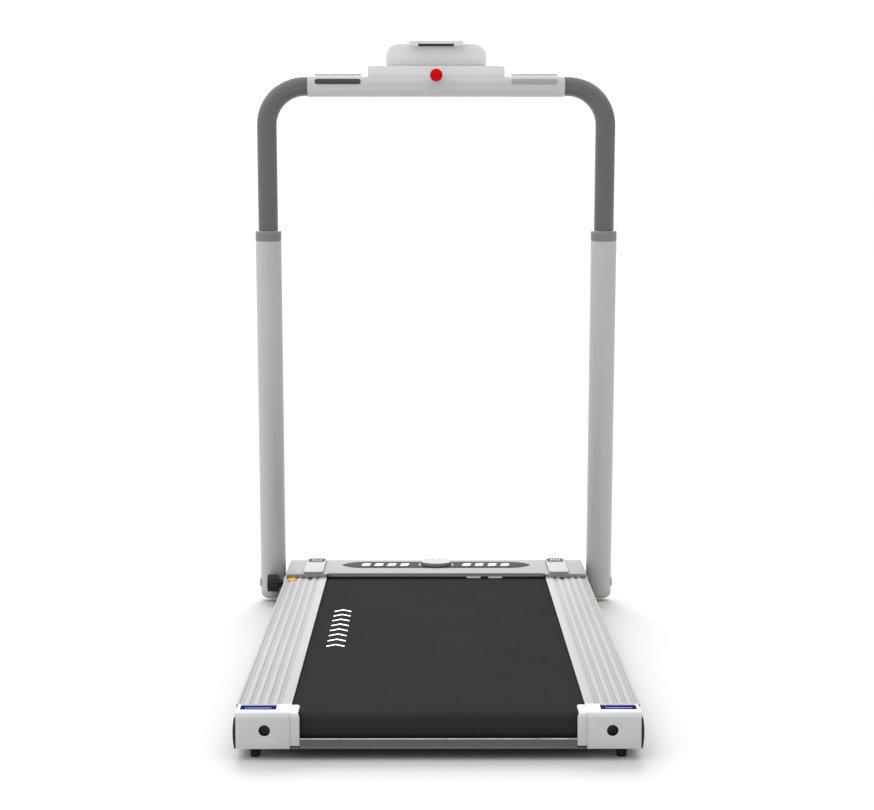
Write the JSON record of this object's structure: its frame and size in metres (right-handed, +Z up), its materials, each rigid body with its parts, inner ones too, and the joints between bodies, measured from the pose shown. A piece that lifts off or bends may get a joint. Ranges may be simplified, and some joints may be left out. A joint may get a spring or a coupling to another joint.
{
  "type": "treadmill",
  "caption": "Flat home treadmill with ribbed foot rails, a low motor hood, and a folding, height-adjustable hand rail that carries a phone rest and stop button.",
  "frame": {"origin": "on the floor, at the middle of the outline seen from above", "axes": "+Y the way the user faces, towards the motor hood; +X to the user's right; +Z up"},
  "size_m": [0.706, 1.232, 1.1039],
  "materials": {
    "frame_steel": "black powder coat",
    "deck_board": "phenolic-faced fibreboard",
    "cushion_rubber": "matt rubber",
    "belt_pvc": "diamond-embossed PVC",
    "rail_plastic": "ribbed light grey",
    "black_plastic": "fine black texture",
    "white_plastic": "satin off-white",
    "console_plastic": "satin white",
    "hood_plastic": "satin light grey",
    "foot_rubber": "matt black rubber",
    "bright_steel": "turned steel",
    "motor_paint": "satin black",
    "zinc_steel": "zinc plate",
    "drive_rubber": "ribbed rubber",
    "circuit_board": "green board with an aluminium heat sink",
    "grey_plastic": "satin mid grey",
    "display_plastic": "satin grey",
    "pan_steel": "grey sheet",
    "black_screw": "black oxide",
    "bearing_steel": "ground steel",
    "pulley_iron": "machined iron",
    "copper_winding": "enamelled copper on steel",
    "wheel_rubber": "matt black",
    "post_paint": "light grey powder coat",
    "plug_plastic": "warm grey",
    "collar_plastic": "mid grey",
    "tube_paint": "dark grey powder coat",
    "dark_pad": "dark grey",
    "light_pad": "light grey",
    "red_plastic": "signal red",
    "dial_plastic": "satin grey",
    "switch_plastic": "red"
  },
  "bodies": {
    "deck": {"side_frame_left": "frame_steel", "side_frame_right": "frame_steel", "cross_members": "frame_steel", "running_deck": "deck_board", "deck_cushions": "cushion_rubber", "running_belt": "belt_pvc", "foot_rail_left": "rail_plastic", "foot_rail_right": "rail_plastic", "side_panels": "black_plastic", "end_cap_left": "white_plastic", "end_cap_right": "white_plastic", "belt_guards": "white_plastic", "feet": "foot_rubber", "rear_roller_axle": "bright_steel", "front_roller_axle": "bright_steel", "motor_housing": "motor_paint", "motor_bracket": "zinc_steel", "drive_belt": "drive_rubber", "motor_controller": "circuit_board", "motor_hood": "hood_plastic", "hood_lip": "hood_plastic", "hood_risers": "rail_plastic", "riser_inserts": "grey_plastic", "display_panel": "display_plastic", "dial_ring": "black_plastic", "belly_pan": "black_plastic", "rear_pan": "pan_steel", "wheel_axles": "bright_steel", "power_inlet": "black_plastic", "pivot_pins": "bright_steel", "casing_screws": "black_screw"},
    "front_roller": {"front_roller_tube": "bright_steel", "front_roller_bearings": "bearing_steel", "roller_pulley": "pulley_iron"},
    "rear_roller": {"rear_roller_tube": "bright_steel", "rear_roller_bearings": "bearing_steel"},
    "motor_rotor": {"motor_armature": "copper_winding", "motor_pulley": "pulley_iron"},
    "wheel_left": {"transport_wheel_left": "wheel_rubber"},
    "wheel_right": {"transport_wheel_right": "wheel_rubber"},
    "uprights": {"post_left": "post_paint", "post_right": "post_paint", "post_plugs": "plug_plastic", "collars": "collar_plastic", "hinge_plates": "post_paint", "pivot_caps": "post_paint"},
    "handle": {"handle_tube": "tube_paint", "grip_cover": "white_plastic", "pulse_plate_left": "dark_pad", "pulse_plate_right": "light_pad", "console_tray": "console_plastic", "phone_rest": "console_plastic"},
    "lock_slide": {"lock_washer": "zinc_steel"},
    "lock_screw": {"lock_knob": "black_plastic"},
    "stop_button": {"emergency_button": "red_plastic"},
    "clip": {"phone_clip": "console_plastic"},
    "dial": {"speed_dial": "dial_plastic"},
    "power_switch": {"rocker_switch": "switch_plastic"},
    "tension_left": {"tension_bolt_left": "black_screw"},
    "tension_right": {"tension_bolt_right": "black_screw"}
  },
  "joints": [
    {"name": "frame_fold", "type": "hinge", "parent": "deck", "child": "uprights", "pos_m": [0, 0.564, 0.038], "axis": [1, 0, 0], "range_deg": [0, 79]},
    {"name": "handle_slide", "type": "slide", "parent": "uprights", "child": "handle", "axis": [0, -0.0872, 0.9962], "range_m": [-0.15, 0]},
    {"name": "front_roller_spin", "type": "hinge", "parent": "deck", "child": "front_roller", "pos_m": [0, 0.477, 0.0434], "axis": [1, 0, 0], "continuous": true},
    {"name": "rear_roller_spin", "type": "hinge", "parent": "deck", "child": "rear_roller", "pos_m": [0, -0.5879, 0.0434], "axis": [1, 0, 0], "continuous": true},
    {"name": "motor_spin", "type": "hinge", "parent": "deck", "child": "motor_rotor", "pos_m": [0.1, 0.534, 0.046], "axis": [1, 0, 0], "continuous": true},
    {"name": "wheel_left_spin", "type": "hinge", "parent": "deck", "child": "wheel_left", "pos_m": [-0.27525, 0.591, 0.0232], "axis": [1, 0, 0], "continuous": true},
    {"name": "wheel_right_spin", "type": "hinge", "parent": "deck", "child": "wheel_right", "pos_m": [0.27525, 0.591, 0.0232], "axis": [1, 0, 0], "continuous": true},
    {"name": "lock_travel", "type": "slide", "parent": "uprights", "child": "lock_slide", "axis": [-1, 0, 0], "range_m": [0, 0.0046]},
    {"name": "lock_turn", "type": "hinge", "parent": "lock_slide", "child": "lock_screw", "pos_m": [-0.33, 0.519, 0.043], "axis": [-1, 0, 0], "range_deg": [0, 1080]},
    {"name": "stop_button_press", "type": "slide", "parent": "handle", "child": "stop_button", "axis": [0, 0.9962, -0.0872], "range_m": [0, 0.003], "stiffness_N_per_m": 900},
    {"name": "phone_clip_slide", "type": "slide", "parent": "handle", "child": "clip", "axis": [0, -0.0872, 0.9962], "range_m": [0, 0.03], "stiffness_N_per_m": 120, "springref_m": -0.01},
    {"name": "speed_dial_turn", "type": "hinge", "parent": "deck", "child": "dial", "pos_m": [0, 0.5325, 0.08], "axis": [0, 0, 1], "continuous": true},
    {"name": "power_switch_rock", "type": "hinge", "parent": "deck", "child": "power_switch", "pos_m": [-0.112, 0.61, 0.0325], "axis": [1, 0, 0], "range_deg": [-9, 9]},
    {"name": "tension_left_turn", "type": "hinge", "parent": "deck", "child": "tension_left", "pos_m": [-0.2485, -0.6, 0.0434], "axis": [0, 1, 0], "continuous": true},
    {"name": "tension_right_turn", "type": "hinge", "parent": "deck", "child": "tension_right", "pos_m": [0.2485, -0.6, 0.0434], "axis": [0, 1, 0], "continuous": true}
  ],
  "couplings": [
    {"joint": "rear_roller_spin", "follows": "front_roller_spin", "ratio": 1},
    {"joint": "motor_spin", "follows": "front_roller_spin", "ratio": 2},
    {"joint": "lock_travel", "follows": "lock_turn", "m_per_rad": 0.00023873}
  ]
}
